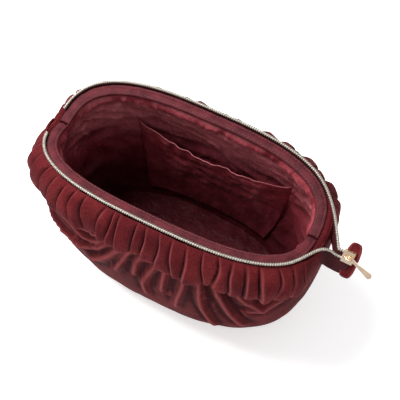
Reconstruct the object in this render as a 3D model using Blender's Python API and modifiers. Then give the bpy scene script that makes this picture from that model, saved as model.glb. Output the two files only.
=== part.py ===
"""Wire-framed zip makeup bag, open, with a shirred velvet body.

Metres, +Z up. X runs along the bag with the zip's tail at +X, and -Y is the front.
The origin is on the floor, under the middle of the base.
"""

from math import asin, cos, pi, radians, sin, tan

import bmesh
import bpy
from mathutils import Euler, Matrix, Vector

MM = 0.001

# Driving dimensions, in millimetres.
BAG_HEIGHT_KEYS = (0, 10, 32, 66, 100, 134)
BAG_HALF_LENGTHS = (84, 94, 106, 113, 116, 117)
BAG_HALF_WIDTHS = (45, 52, 61, 66, 65, 61)
BAG_POWERS = (2.4, 2.4, 2.5, 2.6, 2.7, 2.8)

MOUTH_HALF_LENGTH = 113
MOUTH_HALF_WIDTH = 56
MOUTH_POWER = 2.9
WIRE_HEIGHT = 132
RIM_TILT = radians(15)
WALL_TOP = 126

WALL_ANGLE = radians(50)
WALL_CORNER_DROP = 1.0
SEAM_GAP_ANGLE = radians(0.5)
VELVET = 2.2
LINING = 1.2
LINING_GAP = 1.5

BAND_HEIGHT = 27
BAND_THICKNESS = 3.0
BAND_STAND_OFF = 5.4
PLEAT_COUNT = 22
PLEAT_DEPTH = 1.0

POCKET_FOOT = 14
POCKET_REACH = radians(34)
POCKET_DIP = 8
POCKET_SEAM_GAP = 1.8

BASE_TOP = 7.5
BASE_BOARD = 1.5

FRAME_STEPS = 28
WIRE_RADIUS = 1.3
WIRE_END_Y = 13
CAP_END_Y = 8.5
CASING_END_Y = 15
CASING_HALF_WIDTH = 2.9
CASING_BELOW = 5.2
CASING_ABOVE = 3.8
CASING_CLOTH = 1.0
TAPE_FOOT = 4.2
TAPE_TOP = 10.3
TAPE_THICKNESS = 1.0
COIL_RISE = 11.9
COIL_RADIUS = 1.3
ZIP_END_Y = 22
ZIP_TIP_Y = 8.5

TAIL_CENTRE = Vector((138, -1, 124))
TAIL_ROLL = radians(-45)
TAIL_COIL_OFFSET = 2.5
TAIL_COIL_RADIUS = 1.1
TAIL_START_X = 121
TAIL_END_X = 146
TAIL_TAPE_WIDTH = 9.5
TAIL_TAPE_START_WIDTH = 3.4
TAB_START_X = 143.3
TAB_LENGTH = 10
TAB_WIDTH = 28

SLIDER_LENGTH = 9
SLIDER_HALF_WIDTH = 4.6
SLIDER_PLATE = 1.1
SLIDER_MOUTH = 2.9
BRIDGE_RADIUS = 2.6
BRIDGE_RISE = 1.4
BRIDGE_WIRE = 0.7
BRIDGE_FOOT_GAP = 0.35
PULL_LENGTH = 20
PULL_THICKNESS = 1.1
PULL_YAW = radians(-19)
PULL_WAIST = [(3.4, -1.1), (7, -1.2)]
PULL_END_RADIUS = 2.4
EYE_RADIUS = 2.2
EYE_HOLE = 1.35

PARTS = "makeup_bag"


def clear_scene():
    for item in list(bpy.data.objects):
        bpy.data.objects.remove(item, do_unlink=True)


def new_collection(name):
    collection = bpy.data.collections.new(name)
    bpy.context.scene.collection.children.link(collection)
    return collection


def make_material(name, colour, roughness, metallic=0.0):
    material = bpy.data.materials.new(name)
    material.use_nodes = True
    shader = material.node_tree.nodes["Principled BSDF"]
    shader.inputs["Base Color"].default_value = (*colour, 1.0)
    shader.inputs["Roughness"].default_value = roughness
    shader.inputs["Metallic"].default_value = metallic
    return material


FINISHES = {
    "velvet": ((0.13, 0.018, 0.024), 0.85, 0.0),
    "lining": ((0.11, 0.016, 0.024), 0.4, 0.0),
    "tape": ((0.06, 0.012, 0.016), 0.8, 0.0),
    "silver_coil": ((0.78, 0.74, 0.68), 0.3, 0.9),
    "gold": ((0.83, 0.62, 0.38), 0.25, 1.0),
    "steel": ((0.6, 0.6, 0.6), 0.35, 1.0),
    "cap": ((0.75, 0.75, 0.73), 0.5, 0.0),
    "board": ((0.05, 0.05, 0.05), 0.7, 0.0),
}


def finish(item, kind):
    """Give an object its own material and put it with the parts."""
    item.data.materials.clear()
    item.data.materials.append(make_material(f"{item.name}_{kind}", *FINISHES[kind]))
    for collection in list(item.users_collection):
        collection.objects.unlink(item)
    bpy.data.collections[PARTS].objects.link(item)
    if item.type == "MESH":
        item.data.shade_smooth()
    return item


def interpolate(value, keys, values):
    """A smooth cubic through the keyed values, flat-ended between neighbours' mean slopes."""
    last = len(keys) - 1
    value = min(max(value, keys[0]), keys[last])
    i = max(k for k in range(last) if keys[k] <= value)

    def slope(k):
        low, high = max(k - 1, 0), min(k + 1, last)
        return (values[high] - values[low]) / (keys[high] - keys[low])

    span = keys[i + 1] - keys[i]
    u = (value - keys[i]) / span
    start = values[i] * (2 * u**3 - 3 * u**2 + 1) + slope(i) * span * (u**3 - 2 * u**2 + u)
    end = values[i + 1] * (3 * u**2 - 2 * u**3) + slope(i + 1) * span * (u**3 - u**2)
    return start + end


def signed_power(base, exponent):
    return abs(base) ** exponent * (1 if base >= 0 else -1)


def oval(half_length, half_width, power, angle):
    """A point of a superellipse, whose corners square up as the power rises."""
    x = half_length * signed_power(cos(angle), 2 / power)
    y = half_width * signed_power(sin(angle), 2 / power)
    return x, y


def bag_point(angle, height, grow):
    """A point of the bag's wall in millimetres, moved out from its inner face by grow."""
    half_length = interpolate(height, BAG_HEIGHT_KEYS, BAG_HALF_LENGTHS) + grow
    half_width = interpolate(height, BAG_HEIGHT_KEYS, BAG_HALF_WIDTHS) + grow
    power = interpolate(height, BAG_HEIGHT_KEYS, BAG_POWERS)
    x, y = oval(half_length, half_width, power, angle)
    return Vector((x, y, height))


def rim_edge(angle, slope):
    """A panel's top edge, which drops by slope as it turns in from the bars."""
    y = bag_point(angle, WALL_TOP, 0).y
    return WALL_TOP - slope * (BAG_HALF_WIDTHS[-1] - abs(y))


def wall_top(angle):
    """Low enough at the corners for the frame's arms to pass over as the mouth closes."""
    return rim_edge(angle, WALL_CORNER_DROP)


def grid_object(name, rows, wrap=False):
    """A quad surface through rows of points in millimetres, closed round each row if wrap."""
    mesh = bpy.data.meshes.new(name)
    shape = bmesh.new()
    grid = [[shape.verts.new(Vector(point) * MM) for point in row] for row in rows]
    count = len(rows[0])
    for low, high in zip(grid, grid[1:]):
        for i in range(count if wrap else count - 1):
            j = (i + 1) % count
            shape.faces.new((low[i], low[j], high[j], high[i]))
    shape.to_mesh(mesh)
    shape.free()
    item = bpy.data.objects.new(name, mesh)
    bpy.context.scene.collection.objects.link(item)
    return item


def thicken(item, thickness):
    shell = item.modifiers.new("thickness", "SOLIDIFY")
    shell.thickness = thickness * MM
    shell.offset = 0
    shell.use_even_offset = True
    return item


def round_edges(item, width, segments=2):
    bevel = item.modifiers.new("rounding", "BEVEL")
    bevel.width = width * MM
    bevel.segments = segments
    bevel.limit_method = "ANGLE"
    return item


def spread(start, end, steps):
    return [start + (end - start) * i / steps for i in range(steps + 1)]


def wall_panel(name, side, low, grow, steps=20, levels=6):
    """Front (side -1) or back (side 1) panel, from height low to the rim."""
    rows = []
    for level in spread(0, 1, levels):
        row = []
        for angle in spread(WALL_ANGLE, pi - WALL_ANGLE, steps):
            height = low + level * (wall_top(angle) - low)
            row.append(bag_point(side * angle, height, grow))
        rows.append(row)
    return grid_object(name, rows)


def gusset_panel(name, end, low, grow, steps=10, levels=6):
    """End panel at +X (end 1) or -X (end -1), between the front and back panels."""
    reach = WALL_ANGLE - SEAM_GAP_ANGLE
    rows = []
    for level in spread(0, 1, levels):
        row = []
        for angle in spread(-reach, reach, steps):
            height = low + level * (rim_edge(angle, tan(RIM_TILT)) - low)
            point = bag_point(angle, height, grow)
            row.append(Vector((end * point.x, point.y, point.z)))
        rows.append(row)
    return grid_object(name, rows)


def build_outer():
    low = BASE_TOP + 0.4
    for side, word in ((-1, "front"), (1, "back")):
        body = wall_panel(f"outer_{word}_body", side, low, VELVET / 2)
        finish(thicken(body, VELVET), "velvet")
        build_band(f"outer_{word}_band", side)
    for end, word in ((-1, "left"), (1, "right")):
        gusset = gusset_panel(f"outer_{word}_gusset", end, low, VELVET / 2)
        finish(thicken(gusset, VELVET), "velvet")
    rings = [
        [bag_point(angle, 0, grow) for angle in spread(0, 2 * pi, 36)[:-1]]
        for grow in (-14, -6, -2.2)
    ]
    for ring in rings:
        for point in ring:
            point.z = VELVET / 2
    for height in (2.4, BASE_TOP):
        rings.append([bag_point(a, height, VELVET / 2) for a in spread(0, 2 * pi, 36)[:-1]])
    base = grid_object("outer_base", rings, wrap=True)
    close_middle(base, rings[0])
    finish(thicken(base, VELVET), "velvet")


def close_middle(item, ring):
    """Fill the first ring of a wrapped grid with one face."""
    shape = bmesh.new()
    shape.from_mesh(item.data)
    shape.verts.ensure_lookup_table()
    shape.faces.new([shape.verts[i] for i in range(len(ring))])
    bmesh.ops.recalc_face_normals(shape, faces=shape.faces)
    shape.to_mesh(item.data)
    shape.free()


def build_band(name, side):
    """The gathered band under the zip, plain pleats standing off the body."""
    steps = PLEAT_COUNT * 2
    rows = []
    for level in spread(0, 1, 3):
        bulge = sin(level * pi) * 0.8 - 0.4
        row = []
        for i, angle in enumerate(spread(WALL_ANGLE, pi - WALL_ANGLE, steps)):
            top = wall_top(angle)
            pleat = PLEAT_DEPTH * cos(2 * pi * i * PLEAT_COUNT / steps)
            height = top - BAND_HEIGHT * (1 - level)
            row.append(bag_point(side * angle, height, BAND_STAND_OFF + bulge - pleat))
        rows.append(row)
    finish(thicken(grid_object(name, rows), BAND_THICKNESS), "velvet")


def plate(name, grow, low, thickness, kind):
    """A flat oval plate inside the base."""
    outline = [bag_point(angle, 0, grow) for angle in spread(0, 2 * pi, 40)[:-1]]
    mesh = bpy.data.meshes.new(name)
    shape = bmesh.new()
    shape.faces.new([shape.verts.new(Vector((p.x, p.y, low)) * MM) for p in outline])
    shape.to_mesh(mesh)
    shape.free()
    item = bpy.data.objects.new(name, mesh)
    bpy.context.scene.collection.objects.link(item)
    shell = item.modifiers.new("thickness", "SOLIDIFY")
    shell.thickness = thickness * MM
    shell.offset = 1
    return finish(item, kind)


def build_lining():
    board_low = VELVET + 0.4
    lining_low = board_low + BASE_BOARD + 0.3
    plate("base_board", -3, board_low, BASE_BOARD, "board")
    plate("lining_base", -3, lining_low, LINING, "lining")
    low = lining_low + LINING + 0.4
    grow = -LINING_GAP - LINING / 2
    for side, word in ((-1, "front"), (1, "back")):
        panel = wall_panel(f"lining_{word}", side, low, grow)
        finish(thicken(panel, LINING), "lining")
    for end, word in ((-1, "left"), (1, "right")):
        panel = gusset_panel(f"lining_{word}_gusset", end, low, grow)
        finish(thicken(panel, LINING), "lining")


def build_pocket(name, side, top, gape):
    """A slip pocket: snug to the lining at its foot and sides, standing away at its hem."""
    low = POCKET_FOOT
    near = -LINING_GAP - LINING - POCKET_SEAM_GAP
    reach = POCKET_REACH
    steps = 14
    rows = []
    for level in spread(0, 1, 6):
        row = []
        for i, angle in enumerate(spread(pi / 2 - reach, pi / 2 + reach, steps)):
            across = sin(pi * i / steps) ** 0.6
            dip = POCKET_DIP * across * level
            height = low + level * (top - low) - dip
            stand = near - gape * across * level**0.8
            row.append(bag_point(side * angle, height, stand))
        rows.append(row)
    finish(thicken(grid_object(name, rows), LINING), "lining")


def rim_angle(y):
    """The mouth outline's angle at which it is y millimetres from the middle plane."""
    return asin((y / MOUTH_HALF_WIDTH) ** (MOUTH_POWER / 2))


def rim_point(side, angle, rise=0.0, grow=0.0):
    """A point of a wire frame's plane curve, raised by rise and moved out by grow."""
    x, y = oval(MOUTH_HALF_LENGTH + grow, MOUTH_HALF_WIDTH + grow, MOUTH_POWER, angle)
    _, line_y = oval(MOUTH_HALF_LENGTH, MOUTH_HALF_WIDTH, MOUTH_POWER, angle)
    height = WIRE_HEIGHT - tan(RIM_TILT) * (MOUTH_HALF_WIDTH - line_y) + rise
    return Vector((x, side * y, height))


def tube(name, points, radius, kind, roundness=2):
    """A round cord or wire through points in millimetres, with filled ends."""
    curve = bpy.data.curves.new(name, "CURVE")
    curve.dimensions = "3D"
    curve.bevel_depth = radius * MM
    curve.bevel_resolution = roundness
    curve.use_fill_caps = True
    spline = curve.splines.new("POLY")
    spline.points.add(len(points) - 1)
    for knot, point in zip(spline.points, points):
        knot.co = (*(Vector(point) * MM), 1.0)
    item = bpy.data.objects.new(name, curve)
    bpy.context.scene.collection.objects.link(item)
    return finish(item, kind)


def build_wire_cap(name, side, end):
    """A plastic cup over a wire's end, turned round the wire's own line."""
    inner = WIRE_RADIUS + 0.35
    outer = inner + 0.9
    near = rim_point(side, rim_angle(WIRE_END_Y + 6))
    far = rim_point(side, rim_angle(CAP_END_Y))
    for point in (near, far):
        point.x *= end
    length = (far - near).length
    mouth = length - 4.5
    profile = ((outer, length), (outer, mouth), (inner, mouth), (inner, length - 1.2), (0, length - 1.2))
    mesh = bpy.data.meshes.new(name)
    shape = bmesh.new()
    verts = [shape.verts.new((x * MM, 0, z * MM)) for x, z in (*profile, (0, length))]
    for first, second in zip(verts, verts[1:]):
        shape.edges.new((first, second))
    shape.edges.new((verts[-1], verts[0]))
    shape.to_mesh(mesh)
    shape.free()
    item = bpy.data.objects.new(name, mesh)
    bpy.context.scene.collection.objects.link(item)
    turn = item.modifiers.new("turn", "SCREW")
    turn.steps = 12
    turn.render_steps = 12
    turn.use_merge_vertices = True
    turn.merge_threshold = 0.00005
    item.location = near * MM
    item.rotation_mode = "QUATERNION"
    item.rotation_quaternion = (far - near).to_track_quat("Z", "Y")
    return finish(item, "cap")


def build_frame(side, word):
    """One of the two sprung U frames, its cloth casing and its half of the zip."""
    start = rim_angle(WIRE_END_Y)
    wire = [rim_point(side, angle) for angle in spread(start, pi - start, FRAME_STEPS)]
    tip = rim_angle(CAP_END_Y + 2.2)
    wire = [rim_point(side, tip), *wire, rim_point(side, pi - tip)]
    tube(f"{word}_wire", wire, WIRE_RADIUS, "steel")
    build_wire_cap(f"{word}_wire_cap_left", side, -1)
    build_wire_cap(f"{word}_wire_cap_right", side, 1)

    start = rim_angle(CASING_END_Y)
    inset = CASING_CLOTH / 2
    half, low, high = CASING_HALF_WIDTH - inset, inset - CASING_BELOW, CASING_ABOVE - inset
    section = ((half, low + 1.2), (half, high - 1), (half - 1.2, high), (-half + 1.2, high),
               (-half, high - 1), (-half, low + 1.2), (-half + 1.2, low), (half - 1.2, low))
    rows = [
        [rim_point(side, angle, rise=up, grow=out) for out, up in section]
        for angle in spread(start, pi - start, FRAME_STEPS)
    ]
    finish(thicken(grid_object(f"{word}_casing", rows, wrap=True), CASING_CLOTH), "lining")

    start = rim_angle(ZIP_END_Y)
    rows = [
        [rim_point(side, angle, rise=up) for up in (TAPE_FOOT, TAPE_TOP)]
        for angle in spread(start, pi - start, FRAME_STEPS)
    ]
    finish(thicken(grid_object(f"{word}_zip_tape", rows), TAPE_THICKNESS), "tape")
    angles = spread(start, pi - start, FRAME_STEPS)
    coil = [rim_point(side, angle, rise=COIL_RISE) for angle in angles]
    tube(f"{word}_zip_coil", coil, COIL_RADIUS, "silver_coil")


def build_zip_ends(side, word):
    """The last stretch of tape and teeth, sewn to the left gusset beyond the frame."""
    first, last = rim_angle(ZIP_END_Y - 0.6), rim_angle(ZIP_TIP_Y)
    angles = spread(pi - first, pi - last, 5)
    rows = [[rim_point(side, angle, rise=up) for up in (TAPE_FOOT, TAPE_TOP)] for angle in angles]
    finish(thicken(grid_object(f"{word}_tape_end", rows), TAPE_THICKNESS), "tape")
    coil = [rim_point(side, angle, rise=COIL_RISE) for angle in angles]
    tube(f"{word}_coil_end", coil, COIL_RADIUS, "silver_coil")


def tail_point(x, across, lift=0.0):
    """A point of the tail at x, across its tape and lifted off its plane, in millimetres."""
    turned = Euler((TAIL_ROLL * -1, 0, 0)).to_matrix() @ Vector((0, across, lift))
    return Vector((x, TAIL_CENTRE.y + turned.y, TAIL_CENTRE.z + turned.z))


def build_tail(side, word):
    """Teeth and tape from the frame's right end to the slider and on into the tab."""
    frame_end = rim_point(side, rim_angle(ZIP_END_Y - 1.8), rise=COIL_RISE)
    start = tail_point(TAIL_START_X, side * TAIL_COIL_OFFSET)
    out = frame_end + Vector((6.5, -side * 3, 1))
    near = start + Vector((-3.2, side * 3.5, 1.5))
    bend = []
    for u in spread(0, 1, 8)[:-1]:
        v = 1 - u
        bend.append(v**3 * frame_end + 3 * v * v * u * out + 3 * v * u * u * near + u**3 * start)
    straight = [tail_point(x, side * TAIL_COIL_OFFSET) for x in spread(TAIL_START_X, TAIL_END_X, 4)]
    path = bend + straight
    tube(f"{word}_tail_coil", path, TAIL_COIL_RADIUS, "silver_coil")

    last_turn = radians(-135) if side < 0 else radians(45)
    rows = []
    for i, point in enumerate(path):
        share = min(1, max(0, i - 2) / (len(bend) - 2))
        ease = share * share * (3 - 2 * share)
        turn = radians(-90) + (last_turn - radians(-90)) * ease
        along = (path[min(i + 1, len(path) - 1)] - path[max(i - 1, 0)]).normalized()
        direction = Vector((0, cos(turn), sin(turn)))
        direction = (direction - direction.dot(along) * along).normalized()
        near_edge = TAIL_COIL_RADIUS + 0.4
        width = TAIL_TAPE_START_WIDTH + (TAIL_TAPE_WIDTH - TAIL_TAPE_START_WIDTH) * ease
        rows.append([point + direction * near_edge, point + direction * (near_edge + width)])
    finish(thicken(grid_object(f"{word}_tail_tape", rows), TAPE_THICKNESS), "tape")


def extruded_outline(name, outline, length, kind):
    """A closed outline in Y and Z, drawn out along X and centred on X = 0, in millimetres."""
    mesh = bpy.data.meshes.new(name)
    shape = bmesh.new()
    ends = []
    for x in (-length / 2, length / 2):
        ends.append([shape.verts.new(Vector((x, y, z)) * MM) for y, z in outline])
    shape.faces.new(ends[0][::-1])
    shape.faces.new(ends[1])
    count = len(outline)
    for i in range(count):
        j = (i + 1) % count
        shape.faces.new((ends[0][i], ends[0][j], ends[1][j], ends[1][i]))
    bmesh.ops.recalc_face_normals(shape, faces=shape.faces)
    shape.to_mesh(mesh)
    shape.free()
    item = bpy.data.objects.new(name, mesh)
    bpy.context.scene.collection.objects.link(item)
    return finish(item, kind)


def build_tab():
    """A folded velvet tab over the zip's tail end, open towards the bag."""
    slot, wall = 2.9, 1.4
    half = TAB_WIDTH / 2
    rows = []
    fold = slot / 2 + wall / 2
    profile = [(TAB_START_X, -fold), (TAB_START_X + TAB_LENGTH - fold - 1, -fold)]
    centre = TAB_START_X + TAB_LENGTH - fold - 1
    for turn in spread(-pi / 2, pi / 2, 6)[1:-1]:
        profile.append((centre + fold * cos(turn), fold * sin(turn)))
    profile += [(centre, fold), (TAB_START_X, fold)]
    for across in (-half, half):
        rows.append([tail_point(x, across, lift) for x, lift in profile])
    tab = thicken(grid_object("tail_tab", rows), wall)
    finish(round_edges(tab, 0.4), "velvet")


def build_slider():
    """Slider, its bridge and its pull, each with its origin where it turns or slides."""
    seat = bpy.data.objects.new("slider_seat", None)
    bpy.context.scene.collection.objects.link(seat)
    seat.location = TAIL_CENTRE * MM
    seat.rotation_euler = (-TAIL_ROLL, 0, 0)

    half, plate_low = SLIDER_HALF_WIDTH, SLIDER_MOUTH / 2
    plate_top = plate_low + SLIDER_PLATE
    post = 0.75
    outline = ((-half, plate_low), (-post, plate_low), (-post, -plate_low), (-half, -plate_low),
               (-half, -plate_top), (half, -plate_top), (half, -plate_low), (post, -plate_low),
               (post, plate_low), (half, plate_low), (half, plate_top), (-half, plate_top))
    body = extruded_outline("slider_body", outline, SLIDER_LENGTH, "gold")
    body.parent = seat

    pivot = Vector((0, 0, plate_top + BRIDGE_RISE))
    foot = Vector((BRIDGE_RADIUS, 0, plate_top + BRIDGE_FOOT_GAP))
    arch = [foot]
    for turn in spread(0, pi, 8):
        arch.append(pivot + BRIDGE_RADIUS * Vector((cos(turn), 0, sin(turn))))
    arch.append(Vector((-foot.x, 0, foot.z)))
    bridge = tube("slider_bridge", arch, BRIDGE_WIRE, "gold")
    bridge.parent = seat

    pull = build_pull()
    pull.parent = seat
    pull.location = pivot * MM


def build_pull():
    """A slim pull whose eye hangs on the bridge; its origin is the centre of the bridge's arc."""
    far_x = PULL_LENGTH - PULL_END_RADIUS
    outer = [(EYE_RADIUS * cos(t), EYE_RADIUS * sin(t)) for t in spread(pi / 2, 3 * pi / 2, 8)]
    outer += PULL_WAIST
    for turn in spread(-pi / 2, pi / 2, 8):
        outer.append((far_x + PULL_END_RADIUS * cos(turn), PULL_END_RADIUS * sin(turn)))
    outer += [(x, -y) for x, y in reversed(PULL_WAIST)]
    hole = [(EYE_HOLE * cos(t), EYE_HOLE * sin(t)) for t in spread(0, 2 * pi, 12)[:-1]]
    curve = bpy.data.curves.new("pull_outline", "CURVE")
    curve.dimensions = "2D"
    curve.fill_mode = "BOTH"
    curve.extrude = PULL_THICKNESS / 2 * MM
    yaw = Matrix.Rotation(PULL_YAW, 2)
    for ring in (outer, hole):
        spline = curve.splines.new("POLY")
        spline.points.add(len(ring) - 1)
        spline.use_cyclic_u = True
        for knot, point in zip(spline.points, ring):
            x, y = yaw @ Vector(point)
            knot.co = ((x + BRIDGE_RADIUS) * MM, y * MM, 0, 1)
    item = bpy.data.objects.new("pull_tab", curve)
    bpy.context.scene.collection.objects.link(item)
    return finish(item, "gold")


def main():
    clear_scene()
    new_collection(PARTS)
    build_outer()
    build_lining()
    build_pocket("front_pocket", -1, top=106, gape=18)
    build_pocket("back_pocket", 1, top=96, gape=15)
    for side, word in ((-1, "front"), (1, "back")):
        build_frame(side, word)
        build_zip_ends(side, word)
        build_tail(side, word)
    build_tab()
    build_slider()


main()
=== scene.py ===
"""Looks of the wire-framed makeup bag: gathered velvet, satin lining, zip, slider and pull.

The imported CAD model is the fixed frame. Lengths are in millimetres until a mesh is made, and the
axes are the frame's: X along the bag with the zip's tail at +X, -Y the front, +Z up.
"""

from math import asin, cos, pi, radians, sin, tan

import bmesh
import bpy
import numpy as np
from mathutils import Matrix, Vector, noise


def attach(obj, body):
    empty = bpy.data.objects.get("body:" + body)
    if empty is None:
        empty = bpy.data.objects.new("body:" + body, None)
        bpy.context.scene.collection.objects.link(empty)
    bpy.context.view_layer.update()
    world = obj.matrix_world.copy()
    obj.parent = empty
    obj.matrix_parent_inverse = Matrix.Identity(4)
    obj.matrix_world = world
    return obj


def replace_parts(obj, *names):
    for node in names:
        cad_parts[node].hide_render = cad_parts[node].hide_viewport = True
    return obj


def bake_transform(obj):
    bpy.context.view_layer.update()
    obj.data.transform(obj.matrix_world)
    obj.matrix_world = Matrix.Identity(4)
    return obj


MM = 0.001
FINE_STEPS = 4000

# Driving dimensions of the CAD model, in millimetres.
BAG_HEIGHT_KEYS = (0, 10, 32, 66, 100, 134)
BAG_HALF_LENGTHS = (84, 94, 106, 113, 116, 117)
BAG_HALF_WIDTHS = (45, 52, 61, 66, 65, 61)
BAG_POWERS = (2.4, 2.4, 2.5, 2.6, 2.7, 2.8)
MOUTH_HALF_LENGTH = 113
MOUTH_HALF_WIDTH = 56
MOUTH_POWER = 2.9
WIRE_HEIGHT = 132
RIM_TILT = radians(15)
TAPE_FOOT = 3.0
TAPE_TOP = 10.8
COIL_RISE = 11.9
COIL_RADIUS = 1.35
ZIP_TIP_Y = 8.5
POCKET_REACH = radians(34)
TAIL_CENTRE = Vector((138, -1, 124))
TAIL_ROLL = radians(45)
TAIL_COIL_OFFSET = 2.5
TAIL_STRAIGHT_X = 129
TAIL_END_X = 140
TAB_START_X = 143.3
TAB_LENGTH = 10
TAB_WIDTH = 28

# The tab as the photo shows it: back towards the bag, under the slider and to its front.
TAB_UNDER = 8.3
TAB_BELOW = 5.1
TAB_ACROSS = -3.4
TAB_THICKNESS = 4.2

# Cloth as it is made up here: the casing lies flat inwards from the teeth, as in the photo.
CASING_REACH = 4.0
CASING_DEPTH = 2.0
CASING_IN = -5.2
CASING_RISE = 7.9
CASING_END_Y = 0.8
STITCH_ROWS = (-2.7, 2.3)
VELVET_SHEET = 1.4
SATIN_SHEET = 0.7
CASING_SHEET = 0.5
TAB_SHEET = 0.6
BAND_FALL = 31
BAND_TOP_RISE = 9.6

SIDES = ((-1, "front"), (1, "back"))


# ---------------------------------------------------------------- the bag's outlines


def keyed(value, keys, values):
    """A smooth cubic through the keyed values, for numbers or arrays."""
    keys, values = np.array(keys, float), np.array(values, float)
    value = np.clip(value, keys[0], keys[-1])
    i = np.clip(np.searchsorted(keys, value, side="right") - 1, 0, len(keys) - 2)
    order = np.arange(len(keys))
    low, high = np.maximum(order - 1, 0), np.minimum(order + 1, len(keys) - 1)
    slopes = (values[high] - values[low]) / (keys[high] - keys[low])
    span = keys[i + 1] - keys[i]
    u = (value - keys[i]) / span
    start = values[i] * (2 * u**3 - 3 * u**2 + 1) + slopes[i] * span * (u**3 - 2 * u**2 + u)
    end = values[i + 1] * (3 * u**2 - 2 * u**3) + slopes[i + 1] * span * (u**3 - u**2)
    return start + end


def eased(value):
    """0 below 0, 1 above 1 and a smooth step between."""
    share = np.clip(value, 0, 1)
    return share * share * (3 - 2 * share)


def bell(value, centre, width, power=2):
    """1 at the centre, falling away on both sides within about a width."""
    return np.exp(-(np.abs((value - centre) / width) ** power))


def oval(half_length, half_width, power, angle):
    """A rounded rectangle's outline: an ellipse at power 2, squarer above it."""
    c, s = np.cos(angle), np.sin(angle)
    x = half_length * np.sign(c) * np.abs(c) ** (2 / power)
    y = half_width * np.sign(s) * np.abs(s) ** (2 / power)
    return x, y


def bag_points(side, angle, height, grow):
    """Points of the bag's wall, moved out from its inner face by grow."""
    angle, height, grow = np.broadcast_arrays(angle, height, grow)
    half_length = keyed(height, BAG_HEIGHT_KEYS, BAG_HALF_LENGTHS) + grow
    half_width = keyed(height, BAG_HEIGHT_KEYS, BAG_HALF_WIDTHS) + grow
    x, y = oval(half_length, half_width, keyed(height, BAG_HEIGHT_KEYS, BAG_POWERS), angle)
    return np.stack([x, side * y, height], axis=-1)


def rim_height(angle):
    """The height of a wire's own line at this angle of the mouth."""
    _, y = oval(MOUTH_HALF_LENGTH, MOUTH_HALF_WIDTH, MOUTH_POWER, angle)
    return WIRE_HEIGHT - tan(RIM_TILT) * (MOUTH_HALF_WIDTH - y)


def rim_points(side, angle, rise, grow=0.0):
    """Points of a wire frame's plane curve, raised by rise and moved out by grow."""
    angle, rise, grow = np.broadcast_arrays(angle, rise, grow)
    x, y = oval(MOUTH_HALF_LENGTH + grow, MOUTH_HALF_WIDTH + grow, MOUTH_POWER, angle)
    return np.stack([x, side * y, rim_height(angle) + rise], axis=-1)


def rim_angle(y):
    """The mouth outline's angle at which it is y millimetres from the middle plane."""
    return asin((y / MOUTH_HALF_WIDTH) ** (MOUTH_POWER / 2))


def run_along(points):
    """The distance travelled at each point of a line of points."""
    steps = np.linalg.norm(np.diff(points, axis=0), axis=1)
    return np.concatenate([[0], np.cumsum(steps)])


def even_angles(start, end, count, height=100):
    """Angles from start to end whose points lie evenly along the wall at a height."""
    fine = np.linspace(start, end, FINE_STEPS)
    travelled = run_along(bag_points(1, fine, height, 0))
    return np.interp(np.linspace(0, travelled[-1], count), travelled, fine)


def wall_angle(x, height):
    """The wall's angle at which it is x millimetres along the bag."""
    half_length = keyed(height, BAG_HEIGHT_KEYS, BAG_HALF_LENGTHS)
    power = keyed(height, BAG_HEIGHT_KEYS, BAG_POWERS)
    share = np.clip(np.abs(x) / half_length, 0, 1) ** (power / 2)
    angle = np.arccos(share)
    return np.where(x >= 0, angle, pi - angle)


def tail_points(x, across, lift=0.0):
    """Points of the tail at x, across its tape and lifted off its plane."""
    x, across, lift = np.broadcast_arrays(x, across, lift)
    c, s = cos(TAIL_ROLL), sin(TAIL_ROLL)
    y = TAIL_CENTRE.y + across * c - lift * s
    z = TAIL_CENTRE.z + across * s + lift * c
    return np.stack([x, y, z], axis=-1)


# ---------------------------------------------------------------- meshes


def mesh_object(name, points, faces):
    mesh = bpy.data.meshes.new(name)
    mesh.from_pydata([tuple(point) for point in np.asarray(points) * MM], [], faces)
    mesh.shade_smooth()
    item = bpy.data.objects.new(name, mesh)
    bpy.context.scene.collection.objects.link(item)
    return item


def grid_faces(rows, columns, wrap=False):
    """Quads between rows of points numbered row by row, closed round each row if wrap."""
    faces = []
    for row in range(rows - 1):
        for column in range(columns if wrap else columns - 1):
            near = row * columns
            after = (column + 1) % columns
            faces.append((near + column, near + after, near + columns + after, near + columns + column))
    return faces


def grid_object(name, points, wrap=False):
    """A quad surface through an array of rows of points, closed round each row if wrap."""
    rows, columns = points.shape[:2]
    return mesh_object(name, points.reshape(-1, 3), grid_faces(rows, columns, wrap))


def give_share(item, name, values):
    """A number for each point, which a material can read."""
    attribute = item.data.attributes.new(name, "FLOAT", "POINT")
    attribute.data.foreach_set("value", np.asarray(values, np.float32).ravel())
    return item


def freeze(item):
    """Turn the object's modifiers into its mesh."""
    graph = bpy.context.evaluated_depsgraph_get()
    mesh = bpy.data.meshes.new_from_object(item.evaluated_get(graph))
    item.modifiers.clear()
    item.data = mesh
    return item


def thicken(item, thickness):
    """Give a sheet its thickness, half on each side."""
    shell = item.modifiers.new("thickness", "SOLIDIFY")
    shell.thickness = thickness * MM
    shell.offset = 0
    return freeze(item)


def outward(item):
    """Make every face look out of the solid."""
    shape = bmesh.new()
    shape.from_mesh(item.data)
    bmesh.ops.recalc_face_normals(shape, faces=shape.faces)
    shape.to_mesh(item.data)
    shape.free()
    return item


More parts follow.
